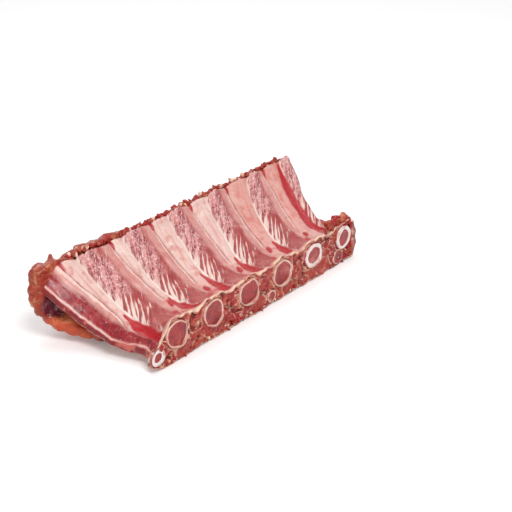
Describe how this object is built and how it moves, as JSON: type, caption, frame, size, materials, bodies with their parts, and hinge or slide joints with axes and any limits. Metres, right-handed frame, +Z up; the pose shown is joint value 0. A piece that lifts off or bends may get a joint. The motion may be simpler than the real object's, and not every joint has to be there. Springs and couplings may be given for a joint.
{
  "type": "rack of ribs",
  "caption": "Rack of raw pork ribs lying bone side up, with a sawn chine face of rib heads and ragged outer meat past the rib tips.",
  "frame": {"origin": "middle of the bounding box's footprint, on the surface the rack lies on", "axes": "+X along the rack, across the ribs; +Y from the sawn chine face to the rib tips; +Z up, the concave bone side"},
  "size_m": [0.2572, 0.0894, 0.0488],
  "materials": {
    "meat": "moist raw pork between the ribs, red with cream fat streaks, softly glossy",
    "cover": "orange-brown outer meat and fat, moist, ragged",
    "bone": "membrane-covered bone, pinkish beige and smooth, with red marrow where sawn"
  },
  "bodies": {
    "root": {"rib_meat": "meat", "outer_cover": "cover", "rib_bone_1": "bone", "rib_bone_2": "bone", "rib_bone_3": "bone", "rib_bone_4": "bone", "rib_bone_5": "bone", "rib_bone_6": "bone", "rib_head_7": "bone", "chine_bone_1": "bone", "chine_bone_2": "bone"}
  },
  "joints": []
}
